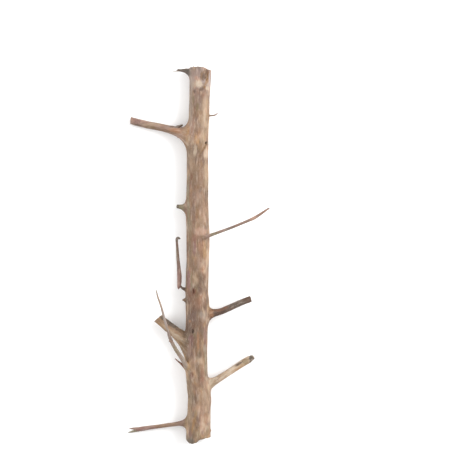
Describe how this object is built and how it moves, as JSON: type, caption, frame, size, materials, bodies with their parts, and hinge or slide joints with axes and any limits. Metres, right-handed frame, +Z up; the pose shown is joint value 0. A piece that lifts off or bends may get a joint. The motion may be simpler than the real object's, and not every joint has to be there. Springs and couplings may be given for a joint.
{
  "type": "aquarium root",
  "caption": "Bare weathered root stick with short broken side branches, lying on its back, to decorate an aquarium or terrarium.",
  "frame": {"origin": "on the floor, under the middle of the whole stick's box", "axes": "+Y along the trunk from its foot to its top, +Z up from the floor it lies on, +X to the right seen from above with the top away from the viewer"},
  "size_m": [0.2261, 0.603, 0.0578],
  "materials": {
    "trunk_wood": "bare weathered wood with the bark gone, satin, grain along the trunk",
    "branch_wood": "bare weathered wood, darker and greyer than the trunk, orange tints at the collars",
    "twig_wood": "thin bare twigs, grey brown with reddish stretches",
    "pale_branch_wood": "pale ochre bare wood with a dark olive grey end"
  },
  "bodies": {
    "root": {"trunk": "trunk_wood", "upper_left_branch": "branch_wood", "left_rising_twig": "twig_wood", "thick_left_branch": "branch_wood", "long_left_twig": "twig_wood", "foot_left_branch": "branch_wood", "slender_right_twig": "twig_wood", "middle_right_branch": "branch_wood", "lower_right_branch": "pale_branch_wood"}
  },
  "joints": []
}
